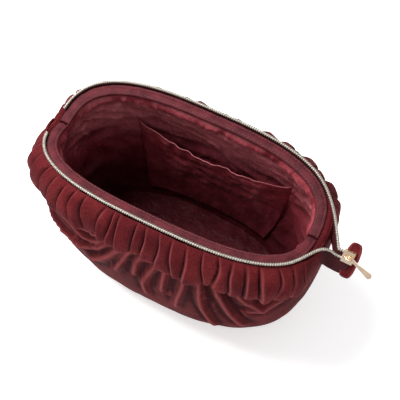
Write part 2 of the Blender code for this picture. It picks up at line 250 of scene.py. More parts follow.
def swept_parts(path, radius, sides):
    """Points and faces of a cord round a path, kept from twisting."""
    path = np.asarray(path, float)
    ahead = np.gradient(path, axis=0)
    ahead /= np.linalg.norm(ahead, axis=1)[:, None]
    up = np.array([0.0, 0.0, 1.0]) if abs(ahead[0][2]) < 0.9 else np.array([1.0, 0.0, 0.0])
    rings = []
    for point, along in zip(path, ahead):
        up = up - up.dot(along) * along
        up /= np.linalg.norm(up)
        out = np.cross(along, up)
        for turn in np.arange(sides) * 2 * pi / sides:
            rings.append(point + radius * (cos(turn) * up + sin(turn) * out))
    faces = grid_faces(len(path), sides, wrap=True)
    faces.append(tuple(range(sides))[::-1])
    faces.append(tuple((len(path) - 1) * sides + i for i in range(sides)))
    return np.array(rings), faces


def joined_object(name, parts):
    """One object of several parts, each a pair of points and faces."""
    points, faces = [], []
    for part_points, part_faces in parts:
        first = len(points)
        points.extend(part_points)
        faces.extend(tuple(first + i for i in face) for face in part_faces)
    return mesh_object(name, np.array(points), faces)


def noise_at(points, scale, seed):
    """Soft noise from -1 to 1 at each point, whose lumps are about scale millimetres."""
    flat = points.reshape(-1, 3) / scale + seed * 17.3
    values = [noise.noise(Vector(point)) for point in flat]
    return np.array(values).reshape(points.shape[:-1])


# ---------------------------------------------------------------- materials


class Finish:
    """A material being built: its shader and the nodes that feed it."""

    def __init__(self, name):
        self.material = bpy.data.materials.new(name)
        self.material.use_nodes = True
        self.tree = self.material.node_tree
        self.shader = self.tree.nodes["Principled BSDF"]
        self.coordinates = self.tree.nodes.new("ShaderNodeTexCoord").outputs["Object"]

    def set(self, **values):
        for name, value in values.items():
            self.shader.inputs[name.replace("_", " ")].default_value = value
        return self

    def link(self, source, target):
        self.tree.links.new(source, target)

    def stretched(self, scale):
        """The object's coordinates in metres, multiplied along each axis."""
        node = self.tree.nodes.new("ShaderNodeVectorMath")
        node.operation = "MULTIPLY"
        node.inputs[1].default_value = scale
        self.link(self.coordinates, node.inputs[0])
        return node.outputs["Vector"]

    def noise(self, scale, detail=2.0, roughness=0.5, stretch=(1, 1, 1)):
        node = self.tree.nodes.new("ShaderNodeTexNoise")
        node.inputs["Scale"].default_value = scale
        node.inputs["Detail"].default_value = detail
        node.inputs["Roughness"].default_value = roughness
        self.link(self.stretched(stretch), node.inputs["Vector"])
        return node.outputs["Fac"]

    def wave(self, scale, stretch, distortion=0.0):
        node = self.tree.nodes.new("ShaderNodeTexWave")
        node.inputs["Scale"].default_value = scale
        node.inputs["Distortion"].default_value = distortion
        self.link(self.stretched(stretch), node.inputs["Vector"])
        return node.outputs["Fac"]

    def share(self, name):
        node = self.tree.nodes.new("ShaderNodeAttribute")
        node.attribute_name = name
        return node.outputs["Fac"]

    def ramp(self, source, stops):
        node = self.tree.nodes.new("ShaderNodeValToRGB")
        elements = node.color_ramp.elements
        while len(elements) < len(stops):
            elements.new(0.5)
        for element, (place, colour) in zip(elements, stops):
            element.position = place
            element.color = (*colour, 1)
        self.link(source, node.inputs["Fac"])
        return node.outputs["Color"]

    def mix(self, share, first, second):
        node = self.tree.nodes.new("ShaderNodeMix")
        node.data_type = "RGBA"
        for socket, value in ((node.inputs[0], share), (node.inputs[6], first), (node.inputs[7], second)):
            if isinstance(value, bpy.types.NodeSocket):
                self.link(value, socket)
            elif socket == node.inputs[0]:
                socket.default_value = value
            else:
                socket.default_value = (*value, 1)
        return node.outputs[2]

    def math(self, kind, first, second):
        node = self.tree.nodes.new("ShaderNodeMath")
        node.operation = kind
        for socket, value in zip(node.inputs, (first, second)):
            if isinstance(value, bpy.types.NodeSocket):
                self.link(value, socket)
            else:
                socket.default_value = value
        return node.outputs[0]

    def spread(self, source, low, high):
        """A share from 0 to 1 mapped to a range."""
        node = self.tree.nodes.new("ShaderNodeMapRange")
        node.inputs["To Min"].default_value = low
        node.inputs["To Max"].default_value = high
        self.link(source, node.inputs["Value"])
        return node.outputs["Result"]

    def colour(self, source):
        self.link(source, self.shader.inputs["Base Color"])
        return self

    def roughness(self, source, low, high):
        self.link(self.spread(source, low, high), self.shader.inputs["Roughness"])
        return self

    def bump(self, source, height, strength=1.0):
        """Bump from a share from 0 to 1 that stands for a height in millimetres."""
        node = self.tree.nodes.new("ShaderNodeBump")
        node.inputs["Distance"].default_value = height * MM
        node.inputs["Strength"].default_value = strength
        self.link(source, node.inputs["Height"])
        self.link(node.outputs["Normal"], self.shader.inputs["Normal"])
        return self


def velvet_finish():
    """Dark wine velvet: short pile in fine upright streaks, with painted highlights on fold ridges and
    painted shade in the folds' troughs and over the body.
    """
    made = Finish("velvet")
    streaks = made.noise(1300, 3, 0.6, stretch=(1, 1, 0.16))
    patches = made.noise(38, 3, 0.55)
    shade = made.math("ADD", made.math("MULTIPLY", streaks, 0.55), made.math("MULTIPLY", patches, 0.45))
    pile = made.ramp(shade, ((0.36, (0.046, 0.0040, 0.0062)), (0.5, (0.088, 0.0082, 0.0105)),
                             (0.66, (0.155, 0.018, 0.0185))))
    # Painted highlight: a pale colour laid on fold ridges and tab edges where the share marks them.
    ridge_highlighted = made.mix(made.share("painted_highlight"), pile, (0.36, 0.078, 0.084))
    # Painted shade: near-black laid in fold troughs, band gaps and over the whole body where the share
    # marks it.
    made.colour(made.mix(made.share("painted_shade"), ridge_highlighted, (0.018, 0.0015, 0.003)))
    made.set(Roughness=0.9, Sheen_Weight=0.03, Sheen_Roughness=0.4, Sheen_Tint=(0.85, 0.25, 0.25, 1),
             Specular_IOR_Level=0.08)
    tufts = made.noise(2600, 2, 0.6)
    relief = made.math("ADD", made.math("MULTIPLY", streaks, 0.5), made.math("MULTIPLY", tufts, 0.5))
    made.bump(relief, 0.35, 0.8)
    return made.material


def satin_finish():
    """Thin wine satin, half glossy, with painted highlights on its crinkles' ridges and painted shade,
    very dark down in the bag.
    """
    made = Finish("satin")
    tone = made.noise(60, 3, 0.6)
    plain = made.ramp(tone, ((0.35, (0.165, 0.019, 0.027)), (0.52, (0.250, 0.034, 0.046)),
                             (0.68, (0.33, 0.056, 0.072))))
    # Painted highlight: a pale pink laid on the crinkles' ridges.
    crinkle_highlighted = made.mix(made.share("painted_highlight"), plain, (0.55, 0.16, 0.185))
    # Painted shade: near-black laid down in the bag and in the hollows between crinkles; the specular
    # falls with it.
    made.colour(made.mix(made.share("painted_shade"), crinkle_highlighted, (0.012, 0.001, 0.002)))
    made.link(made.spread(made.share("painted_shade"), 0.5, 0.02), made.shader.inputs["Specular IOR Level"])
    made.roughness(tone, 0.26, 0.42)
    twill = made.wave(420, (1, 1, 1.4))
    crinkle = made.noise(150, 3, 0.55, stretch=(1, 1, 0.6))
    relief = made.math("ADD", made.math("MULTIPLY", twill, 0.04), made.math("MULTIPLY", crinkle, 0.96))
    made.bump(relief, 1.9, 0.8)
    return made.material


def casing_finish():
    """The satin's matt face on the wire casings, finely ribbed."""
    made = Finish("casing_cloth")
    tone = made.noise(90, 3, 0.6)
    made.colour(made.ramp(tone, ((0.35, (0.066, 0.008, 0.0125)), (0.65, (0.128, 0.0185, 0.0245)))))
    made.set(Roughness=0.65, Specular_IOR_Level=0.2, Sheen_Weight=0.02, Sheen_Roughness=0.35,
             Sheen_Tint=(0.9, 0.4, 0.45, 1))
    ribs = made.wave(700, (1, 0.6, 0.2), 0.4)
    pucker = made.noise(420, 2, 0.5, stretch=(1, 1, 0.3))
    relief = made.math("ADD", made.math("MULTIPLY", ribs, 0.2), made.math("MULTIPLY", pucker, 0.8))
    made.bump(relief, 0.6, 0.8)
    return made.material


def tape_finish():
    """The zip's woven tape, dark wine with a herringbone."""
    made = Finish("zip_tape")
    weave = made.wave(800, (1, 1, 1), 0.5)
    cross = made.wave(800, (1, 1, -1), 0.5)
    both = made.math("MULTIPLY", weave, cross)
    made.colour(made.ramp(both, ((0.1, (0.035, 0.0040, 0.0065)), (0.8, (0.085, 0.0105, 0.0150)))))
    made.set(Roughness=0.8, Specular_IOR_Level=0.2)
    made.bump(both, 0.25, 0.9)
    return made.material


def coil_finish():
    """Metallised teeth, silver with a warm tone and faint scuffs."""
    made = Finish("zip_teeth")
    scuffs = made.noise(500, 3, 0.6)
    made.colour(made.ramp(scuffs, ((0.3, (0.34, 0.31, 0.265)), (0.6, (0.52, 0.48, 0.42)))))
    made.set(Metallic=0.7)
    made.roughness(scuffs, 0.4, 0.55)
    made.bump(scuffs, 0.05, 0.5)
    return made.material


def gold_finish():
    """Polished pale rose gold, lightly brushed and worn."""
    made = Finish("pale_gold")
    brushed = made.noise(900, 3, 0.6, stretch=(0.15, 1, 1))
    wear = made.noise(160, 4, 0.6)
    made.colour(made.ramp(wear, ((0.35, (0.86, 0.62, 0.42)), (0.65, (0.97, 0.80, 0.63)))))
    made.set(Metallic=1.0)
    made.roughness(brushed, 0.14, 0.34)
    made.bump(brushed, 0.02, 0.4)
    return made.material


def board_finish():
    """Grey pressed board, flecked with fibres."""
    made = Finish("pressed_board")
    fibres = made.noise(700, 4, 0.7, stretch=(1, 0.4, 1))
    made.colour(made.ramp(fibres, ((0.35, (0.035, 0.033, 0.03)), (0.7, (0.12, 0.11, 0.10)))))
    made.set(Roughness=0.85)
    made.bump(fibres, 0.1, 0.6)
    return made.material


def thread_finish():
    """Twisted wine thread of the topstitching."""
    made = Finish("thread")
    twist = made.wave(1500, (1, 1, 1))
    made.colour(made.ramp(twist, ((0.2, (0.05, 0.006, 0.010)), (0.8, (0.17, 0.03, 0.04)))))
    made.set(Roughness=0.5, Sheen_Weight=0.3)
    made.bump(twist, 0.05, 0.6)
    return made.material


def floor_finish():
    made = Finish("pale_floor")
    grain = made.noise(6, 2, 0.5)
    made.colour(made.ramp(grain, ((0.3, (0.93, 0.93, 0.93)), (0.7, (0.95, 0.95, 0.95)))))
    made.set(Roughness=0.9, Specular_IOR_Level=0.1, Emission_Color=(1, 1, 1, 1), Emission_Strength=0.5)
    return made.material


FINISHES = {}


def dress(item, kind):
    """Give a piece its material."""
    item.data.materials.clear()
    item.data.materials.append(FINISHES[kind])
    return item


def turn_with(item):
    """Bake the piece's placing into its mesh."""
    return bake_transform(item)


# ---------------------------------------------------------------- velvet body

# Each fold of the front: the line it follows as (x, height), how far it stands, its half width.
FRONT_FOLDS = (
    (((-96, 112), (-78, 105), (-60, 103), (-36, 110), (-28, 118)), 2.6, 3.0),
    (((-100, 104), (-82, 98), (-66, 94), (-50, 91), (-40, 96), (-30, 112)), 3.0, 3.0),
    (((-106, 84), (-92, 76), (-72, 71), (-57, 75), (-40, 88), (-24, 115)), 4.6, 2.6),
    (((-58, 58), (-47, 64), (-31, 84), (-16, 112), (-10, 120)), 3.8, 3.6),
    (((-27, 62), (-20, 82), (-13, 103), (-5, 120)), 3.0, 2.8),
    (((-8, 72), (-6, 90), (-5, 99), (4, 119)), 3.2, 2.6),
    (((3, 44), (2, 60), (1, 74), (8, 97), (15, 119)), 3.4, 2.6),
    (((16, 66), (17, 84), (20, 110), (26, 122)), 2.8, 2.6),
    (((27, 46), (29, 66), (33, 90), (36, 118)), 3.2, 2.6),
    (((42, 124), (46, 110), (47, 92), (50, 74), (56, 50), (62, 30)), 4.6, 2.6),
    (((54, 122), (61, 102), (67, 85), (75, 64), (84, 42)), 4.8, 2.8),
    (((70, 118), (76, 102), (88, 88), (100, 82)), 2.2, 4.0),
    (((82, 106), (94, 103), (107, 101), (117, 92)), 2.6, 3.4),
    (((80, 76), (94, 88), (106, 98)), 2.4, 3.6),
    (((92, 110), (104, 111), (114, 112)), 1.8, 3.2),
)


# What folds have in common, and where the small ones are scattered.
FOLD_TAPER = 0.22
TROUGH_SHARE = 0.36
BOLD_RISE = 2.5
SCATTER_X = 88
SCATTER_LENGTHS = (8, 20)

# The body's foot and top, and how its top rolls over at the gussets' middle.
BODY_FOOT = 1.2
BODY_TOP_RISE = 1.5
ROLL_LEVELS = (0, 0.25, 0.45, 0.62, 0.8, 1)
ROLL_UP = (0, 4.0, 6.6, 7.0, 5.6, 2.6)
ROLL_OUT = (0, -0.3, -1.8, -3.6, -5.6, -6.6)


def along_wall(side, line):
    """Evenly placed points on the wall for a fold's line."""
    line = np.array(line, float)
    travelled = run_along(line)
    places = np.linspace(0, travelled[-1], 14)
    x = keyed(places, travelled, line[:, 0])
    height = keyed(places, travelled, line[:, 1])
    return bag_points(side, wall_angle(x, height), height, 0)


def near_line(points, knots):
    """Each point's distance to a line through knots, and its share of the way along it."""
    starts, steps = knots[:-1], np.diff(knots, axis=0)
    lengths = (steps**2).sum(axis=1)
    reach = ((points[:, None, :] - starts[None]) * steps[None]).sum(axis=2) / lengths
    reach = np.clip(reach, 0, 1)
    feet = starts[None] + reach[..., None] * steps[None]
    distances = np.linalg.norm(points[:, None, :] - feet, axis=2)
    nearest = distances.argmin(axis=1)
    every = np.arange(len(points))
    return distances[every, nearest], (nearest + reach[every, nearest]) / len(steps)


def fold_relief(points, lines):
    """How far folds lift each point, and a share of painted highlight, highest on each fold's ridge line.
    """
    flat = points.reshape(-1, 3)
    lift, painted_highlight = np.zeros(len(flat)), np.zeros(len(flat))
    for knots, rise, width in lines:
        distance, share = near_line(flat, knots)
        taper = eased(share / FOLD_TAPER) * eased((1 - share) / FOLD_TAPER)
        ridge = bell(distance, 0, width, 1.2)
        trough = bell(distance, 2.3 * width, 1.1 * width)
        lift += taper * rise * (ridge - TROUGH_SHARE * trough)
        # Painted highlight along each fold's ridge, stronger on the taller folds.
        shown = taper * min(1, rise / BOLD_RISE) ** 2
        painted_highlight = np.maximum(painted_highlight, shown * bell(distance, 0, 0.3 * width))
    return lift.reshape(points.shape[:-1]), painted_highlight.reshape(points.shape[:-1])


def random_folds(side, rng, count, low, high, rise, width, lean):
    """Short folds scattered over a wall, leaning from upright by up to lean."""
    lines = []
    for _ in range(count):
        x, z = rng.uniform(-SCATTER_X, SCATTER_X), rng.uniform(low, high)
        length, tilt = rng.uniform(*SCATTER_LENGTHS), rng.uniform(-lean, lean)
        ends = [(x + t * length * sin(tilt), z + t * length * cos(tilt)) for t in (-0.5, 0, 0.5)]
        own_rise = rise * rng.uniform(0.6, 1.3)
        own_width = width * rng.uniform(0.8, 1.3)
        lines.append((along_wall(side, ends), own_rise, own_width))
    return lines


def body_folds(side, rng):
    """Every fold of one side: the photo's large ones, then small upright and slanting ones."""
    lines = []
    for line, rise, width in FRONT_FOLDS:
        placed = [(-side * x, z) for x, z in line]
        lines.append((along_wall(side, placed), rise, width))
    lines += random_folds(side, rng, count=22, low=66, high=114, rise=1.3, width=1.6, lean=0.45)
    lines += random_folds(side, rng, count=8, low=72, high=100, rise=0.5, width=1.3, lean=1.5)
    return lines


def body_grow(points):
    """The body's own fullness: more at the right, where the weight leans, than at the left."""
    x, z = points[..., 0], points[..., 2]
    belly = bell(z, 60, 42)
    return 1.2 + 1.6 * belly * eased((x + 40) / 120) - 0.5 * eased((-x - 20) / 60)


def build_body(side, word):
    """Half of the velvet body, from the base to the mouth and round both gussets to their middle.

    At the gussets' middle its top rolls over inwards, between the zip's two ends.
    """
    rng = np.random.default_rng(11 + side)
    angles = even_angles(0, pi, 300)[None]
    levels = np.concatenate([np.linspace(0, 1, 92), 1 + np.linspace(0, 1, 15)[1:]])[:, None]
    wall, roll = np.minimum(levels, 1), np.maximum(levels - 1, 0)
    top = rim_height(angles) + BODY_TOP_RISE
    heights = BODY_FOOT + wall * (top - BODY_FOOT)
    bare = bag_points(side, angles, heights, 0)
    lift, painted_highlight = fold_relief(bare, body_folds(side, rng))
    off_middle = np.abs(bare[..., 1])
    ends = eased((off_middle - 4) / 16)
    gentle = 1.1 * noise_at(bare, 26, 1 + side) + 0.4 * noise_at(bare, 10, 3 + side)
    calm = eased(wall / 0.12)
    grow = np.maximum(body_grow(bare) + (lift + gentle) * calm * ends, 0.2)
    reach = np.where(bare[..., 0] < 0, 14, 36)
    rolled = 1 - eased((off_middle - reach) / 10)
    heights = heights + keyed(roll, ROLL_LEVELS, ROLL_UP) * rolled
    grow = grow + keyed(roll, ROLL_LEVELS, ROLL_OUT) * (0.15 + 0.85 * rolled)
    item = grid_object(f"velvet_{word}_body", bag_points(side, angles, heights, grow))
    # Painted highlight on the fold ridges.
    give_share(item, "painted_highlight", 0.85 * painted_highlight * ends * calm)
    # Painted shade: some over the whole body, more in the troughs beside the folds.
    give_share(item, "painted_shade", 0.3 + 0.55 * np.clip(-lift / 0.8, 0, 1) * ends)
    thicken(item, VELVET_SHEET)
    dress(item, "velvet")
    turn_with(item)
    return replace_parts(item, f"outer_{word}_body")


# ---------------------------------------------------------------- gathered bands

# Where one tab of the front's gathering ends and the next starts, as x on the wall.
BAND_EDGES = (-105, -94, -83, -73, -61, -52, -37, -28, -21, -9, 0,
              12, 24, 34, 48, 58, 68, 79, 89, 99, 107)
TAB_PITCH = 11
BAND_HEIGHT = 124
BAND_COLUMNS = 560
BAND_ROWS = 40
HOLLOW_TABS = (7, 11, 16)
BAND_LEVELS = (0, 0.08, 0.16, 0.26, 0.4, 0.56, 0.72, 0.86, 0.95, 1)
BAND_OUT = (1.4, 4.2, 6.6, 8.2, 8.7, 8.0, 6.2, 3.2, -0.2, -3.4)
BAND_UP = (5.5, 0.8, 0, 2.6, 8.5, 15, 21, 26, 29.4, 31)


# How much of the gathering shows at each level of the band, from its hem to its top.
FLOW_LEVELS = (0, 0.12, 0.3, 0.8, 1)
FLOW = (0.25, 0.8, 1, 0.75, 0.12)


def wall_travel(side_x, height=BAND_HEIGHT):
    """The distance along the wall from the right gusset's middle to each x, and to its end."""
    fine = np.linspace(0, pi, FINE_STEPS)
    travelled = run_along(bag_points(1, fine, height, 6))
    return np.interp(wall_angle(np.asarray(side_x, float), height), fine, travelled), travelled[-1]


def tab_edges(side):
    """Where one tab ends and the next starts, as distances along the wall, and the wall's length.

    Past the photo's own edges the tabs go on evenly round both ends. The last value is how many
    of those even edges come before the photo's first.
    """
    placed, length = wall_travel([-side * x for x in BAND_EDGES])
    edges = np.sort(placed)
    after = np.arange(edges[-1] + TAB_PITCH, length, TAB_PITCH)
    before = np.arange(edges[0] - TAB_PITCH, 0, -TAB_PITCH)[::-1]
    return np.concatenate([[-4], before, edges, after, [length + 4]]), length, len(before)


def build_band(side, word):
    """The gathered band: box-like tabs of velvet with narrow gaps, rolled in at both edges."""
    rng = np.random.default_rng(30 + side)
    edges, length, before = tab_edges(side)
    count = len(edges) - 1
    lean = rng.uniform(-4.6, 4.6, len(edges))
    sway = rng.uniform(-1.8, 1.8, len(edges))
    depth = rng.uniform(2.2, 6.4, len(edges))
    stand = rng.uniform(-1.9, 1.2, count)
    tilt = rng.uniform(-0.4, 2.6, count)
    drop = rng.uniform(-3.6, 3.2, count)
    for tab in HOLLOW_TABS:
        index = tab + before if side > 0 else count - before - 1 - tab
        stand[index] = -3.0
        drop[index] = -3.2

    # Each point's tab, and its distances to that tab's two edges.
    angles = even_angles(0, pi, BAND_COLUMNS, BAND_HEIGHT)
    travel = np.linspace(0, length, BAND_COLUMNS)[None]
    levels = np.linspace(0, 1, BAND_ROWS)[:, None]
    swing = np.sin(2 * pi * levels)[..., None] * sway[None, None, :]
    moved = edges[None, None, :] + lean[None, None, :] * (levels[..., None] - 0.5) + swing
    gaps = travel[..., None] - moved
    index = np.clip((gaps >= 0).sum(axis=2) - 1, 0, count - 1)
    rows, columns = np.indices(index.shape)
    left = gaps[rows, columns, index]
    right = -gaps[rows, columns, index + 1]
    share = left / (left + right)

    # The tabs stand out, and the gaps between them go in.
    gap_depth = np.where(left < right, depth[index], depth[index + 1])
    in_gap = bell(np.minimum(left, right), 0, 1.5, 2.4)
    crown = 0.6 * (1 - (2 * share - 1) ** 2)
    relief = crown - gap_depth * in_gap + stand[index] + tilt[index] * (2 * share - 1)
    flow = keyed(levels, FLOW_LEVELS, FLOW)
    middle = bag_points(side, angles, BAND_HEIGHT, 0)
    off_middle = np.abs(middle[..., 1])[None]
    full = np.where(middle[..., 0][None] < 0, eased((off_middle - 3) / 18), eased((off_middle - 14) / 26))
    shown = flow * full
    out = keyed(levels, BAND_LEVELS, BAND_OUT) - (1.6 if side > 0 else 0)
    grow = 1.9 + (out - 1.9) * (0.28 + 0.72 * full) + relief * shown
    soft = noise_at(bag_points(side, angles[None], 110 + 20 * levels, 0), 7, 5 + side)
    grow += 0.45 * soft * shown
    grow = np.maximum(grow, np.where(levels < 0.5, 1.6, -3.6))

    hem = (1 - levels) ** 2 * (drop[index] + 1.6 * in_gap) * full
    top = rim_height(angles)[None] + BAND_TOP_RISE - (1.5 if side > 0 else 0)
    heights = top - BAND_FALL + keyed(levels, BAND_LEVELS, BAND_UP) - hem
    item = grid_object(f"velvet_{word}_band", bag_points(side, angles[None], heights, grow))
    # Painted highlight along the tabs' edges, more on one side, and a painted highlight line along the
    # hem.
    painted_highlight = (bell(right, 1.6, 0.5) + 0.3 * bell(left, 1.6, 0.5)) * shown
    hem_line_highlight = bell(levels, 0.14, 0.07) * (0.2 + 0.8 * full)
    give_share(item, "painted_highlight", np.clip(0.62 * painted_highlight + 0.45 * hem_line_highlight, 0, 1))
    # Painted shade in the gaps between the tabs.
    give_share(item, "painted_shade", 0.9 * in_gap * shown)
    thicken(item, VELVET_SHEET)
    dress(item, "velvet")
    turn_with(item)
    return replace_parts(item, f"outer_{word}_band")


def fill_middle(item, count):
    """One face over the first ring of count points, at the middle of a base."""
    shape = bmesh.new()
    shape.from_mesh(item.data)
    shape.verts.ensure_lookup_table()
    shape.faces.new([shape.verts[i] for i in range(count)])
    shape.to_mesh(item.data)
    shape.free()


def build_base():
    """The velvet base: a flat oval whose edge rolls up inside the body."""
    angles = np.linspace(0, 2 * pi, 241)[:-1]
    rings = []
    for share in (0.02, 0.25, 0.5, 0.7, 0.84, 0.92):
        points = bag_points(1, angles, 0, 0) * share
        points[:, 2] = 0.75 + 0.25 * noise_at(points, 12, 9)
        rings.append(points)
    for height, grow in ((0.8, -2.4), (1.4, -0.9), (2.6, -0.35), (5, -0.3), (8.5, -0.3)):
        rings.append(bag_points(1, angles, height, grow))
    item = grid_object("velvet_base", np.array(rings), wrap=True)
    fill_middle(item, len(angles))
    thicken(outward(item), 1.2)
    dress(item, "velvet")
    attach(item, "base")
    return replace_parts(item, "outer_base", "outer_left_gusset", "outer_right_gusset")


# ---------------------------------------------------------------- lining and pockets


# The lining's foot, its gap to the wall, and how far its top hangs inwards from the casing.
LINING_FOOT = 5.0
LINING_GAP = 3.0
LINING_HANG = 8.6

# Where a pocket is sewn on: its foot, its distance in from the wall, its hem and its dip.
POCKET_FOOT = 14
POCKET_GAP = 7.4
POCKET_HEM = 7
POCKET_DIP = 8


def satin_relief(points, below, seed):
    """How far the satin stands in from the wall: gathers that fall from the casing, and creases."""
    fall = bell(below, 0, 42)
    gathers = 1 - 2 * np.abs(noise_at(points * np.array([1, 1, 0.30]), 9, seed))
    fine = 1 - 2 * np.abs(noise_at(points * np.array([1, 1, 0.55]), 5.5, seed + 1))
    creases = 1 - 2 * np.abs(noise_at(points * np.array([0.7, 0.7, 1.3]), 20, seed + 2))
    waves = noise_at(points, 45, seed + 4)
    return 2.6 * gathers * fall + 0.9 * fine * (0.25 + 0.75 * fall) + 2.4 * creases + 2.2 * waves


def depth_shade(height):
    """The share of painted shade on the lining at a height: most at the bottom of the bag."""
    return 0.9 * (1 - eased((np.asarray(height, float) - 14) / 74))


def build_lining(side, word):
    """Half of the satin lining, hung from the casing's inner edge and slack against the wall."""
    angles = even_angles(0, pi, 300)[None]
    levels = np.linspace(0, 1, 96)[:, None]
    top = rim_height(angles) + CASING_RISE - 0.8
    heights = LINING_FOOT + levels * (top - LINING_FOOT)
    bare = bag_points(side, angles, heights, -LINING_GAP)
    below = top - heights
    hang = LINING_HANG * bell(below, 0, 26, 1.6)
    middle = 0.35 + 0.65 * eased((np.abs(bare[..., 1]) - 1) / 9)
    slack = eased(below / 7) * eased(levels / 0.06) * middle
    wrinkle = 7 * np.tanh(np.maximum(satin_relief(bare, below, 20) + 0.8, 0) / 7)
    crumple = bell(noise_at(bare * np.array([1, 1, 0.8]), 17, 25), 0, 0.07)
    crumple = crumple * eased(0.5 + 2 * noise_at(bare, 24, 27)) * eased(heights / 90)
    grow = -LINING_GAP - hang - (wrinkle + 1.2 * crumple) * slack
    item = grid_object(f"satin_{word}_lining", bag_points(side, angles, heights, grow))
    # Painted highlight on the satin's wrinkles and crumples, in its upper part.
    lit = 0.75 * np.clip((wrinkle - 0.4) / 4.4, 0, 1) + 0.55 * crumple
    shown = eased((below - 3) / 14) * slack * eased((heights - 60) / 40)
    give_share(item, "painted_highlight", np.clip(0.2 + lit, 0, 1) * shown)
    # Painted shade in the hollows between wrinkles and towards the bottom of the bag.
    hollow_shade = 0.3 * (1 - np.clip(wrinkle / 1.2, 0, 1)) * slack
    give_share(item, "painted_shade", np.maximum(depth_shade(heights), hollow_shade))
    thicken(item, SATIN_SHEET)
    dress(item, "satin")
    turn_with(item)
    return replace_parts(item, f"lining_{word}")


def build_lining_floor():
    angles = np.linspace(0, 2 * pi, 181)[:-1]
    rings = []
    for share in np.linspace(0.02, 1, 26):
        points = bag_points(1, angles, 7, -2.4) * share
        points[:, 2] = 5.6 + 0.45 * noise_at(points, 16, 12) + 0.35 * noise_at(points, 6, 13)
        rings.append(points)
    item = grid_object("satin_floor", np.array(rings), wrap=True)
    fill_middle(item, len(angles))
    # Painted shade over the whole lining floor.
    give_share(item, "painted_shade", np.full(len(item.data.vertices), 0.88))
    thicken(outward(item), 0.5)
    dress(item, "satin")
    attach(item, "base")
    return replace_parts(item, "lining_base", "lining_left_gusset", "lining_right_gusset")


def build_pocket(side, word, top, gape):
    """A slip pocket with a folded hem, snug at its foot and sides, loose at its mouth."""
    steps = 110
    angles = np.linspace(pi / 2 - POCKET_REACH, pi / 2 + POCKET_REACH, steps)[None]
    levels = np.linspace(0, 1, 54)[:, None]
    across = np.sin(pi * np.linspace(0, 1, steps))[None] ** 0.6
    edge_dip = POCKET_DIP * across + 2.0 * noise_at(bag_points(side, angles, 90, 0), 30, 40 + side)
    heights = POCKET_FOOT + levels * (top - POCKET_FOOT - edge_dip * levels)
    bare = bag_points(side, angles, heights, 0)
    wrinkle = 1.3 * noise_at(bare * np.array([1, 1, 0.5]), 16, 41) + 0.8 * noise_at(bare, 8, 43)
    hem_step = 0.7 * eased((heights - (top - POCKET_DIP * across * levels - POCKET_HEM)) / 0.8)
    opened = (gape + 1.8 * wrinkle) * levels**0.8
    grow = -POCKET_GAP + (hem_step - opened - 0.5 * wrinkle) * across
    grow = np.minimum(grow, 1.2 - POCKET_GAP)
    item = grid_object(f"satin_{word}_pocket", bag_points(side, angles, heights, grow))
    # Painted highlight on the hem's edge and on the raised wrinkles.
    hem_edge_highlight = bell(levels, 1, 0.03) * across
    raised = np.clip(wrinkle, 0, 1) * levels * across
    give_share(item, "painted_highlight", np.clip(0.4 * hem_edge_highlight + 0.35 * raised, 0, 1))
    # Painted shade, darker towards the bottom of the bag.
    give_share(item, "painted_shade", 0.85 * depth_shade(heights))
    thicken(item, SATIN_SHEET)
    dress(item, "satin")
    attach(item, f"{word}_wall")
    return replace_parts(item, f"{word}_pocket")


# ---------------------------------------------------------------- casings and zip


def rim_run(end_y, step=1.4):
    """Angles along a frame from one end to the other, evenly placed along its curve."""
    start = rim_angle(end_y)
    fine = np.linspace(start, pi - start, FINE_STEPS)
    travelled = run_along(rim_points(1, fine, 0))
    return np.interp(np.arange(0, travelled[-1], step), travelled, fine)


def build_casing(side, word):
    """The cloth casing round the wire, puckered between its two rows of topstitching."""
    angles = rim_run(CASING_END_Y)[:, None]
    turn = np.linspace(0, 2 * pi, 41)[:-1][None]
    out, up = oval(CASING_REACH, CASING_DEPTH, 3.0, turn)
    bare = rim_points(side, angles, CASING_RISE + up, CASING_IN + out)
    pucker = noise_at(bare, 3.4, 50 + side)
    channel = sum(bell(out, row, 0.8) for row in STITCH_ROWS)
    swell = 0.5 * pucker - 0.6 * channel
    points = rim_points(side, angles, CASING_RISE + up + np.sign(up) * swell, CASING_IN + out)
    item = grid_object(f"satin_{word}_casing", points, wrap=True)
    thicken(outward(item), CASING_SHEET)
    dress(item, "casing")
    turn_with(item)
    held = [f"{word}_wire", f"{word}_wire_cap_left", f"{word}_wire_cap_right"]
    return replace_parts(item, f"{word}_casing", *held)


def build_topstitching(side, word):
    """Two rows of thread stitches along the casing's upper face."""
    parts = []
    angles = rim_run(CASING_END_Y + 1, step=2.9)
    surface = CASING_RISE + CASING_DEPTH - 0.45
    for row in STITCH_ROWS:
        for near, far in zip(angles[:-1], angles[1:]):
            places = near + (far - near) * np.array([0.12, 0.3, 0.5, 0.7, 0.88])
            lift = np.array([-0.35, 0.1, 0.2, 0.1, -0.35])
            path = rim_points(side, places, surface + lift, CASING_IN + row)
            parts.append(swept_parts(path, 0.24, 5))
    item = joined_object(f"casing_{word}_stitches", parts)
    dress(item, "thread")
    return turn_with(item)


def coil_parts(path, radius, pitch=1.8, steps=10, wire=0.52):
    """A spiral of wire round a path, slightly flattened, as a zip's teeth are."""
    path = np.asarray(path, float)
    travelled = run_along(path)
    turns = int(travelled[-1] / pitch)
    places = np.linspace(0, travelled[-1], turns * steps + 1)
    centre = np.stack([np.interp(places, travelled, path[:, i]) for i in range(3)], axis=1)
    ahead = np.gradient(centre, axis=0)
    ahead /= np.linalg.norm(ahead, axis=1)[:, None]
    up = np.array([0.0, 0.0, 1.0])
    out = np.cross(ahead, up)
    out /= np.linalg.norm(out, axis=1)[:, None]
    above = np.cross(out, ahead)
    phase = (np.arange(len(places)) * 2 * pi / steps)[:, None]
    inner = radius - wire
    spiral = centre + inner * (np.cos(phase) * out + np.sin(phase) * above)
    return swept_parts(spiral, wire, 5)


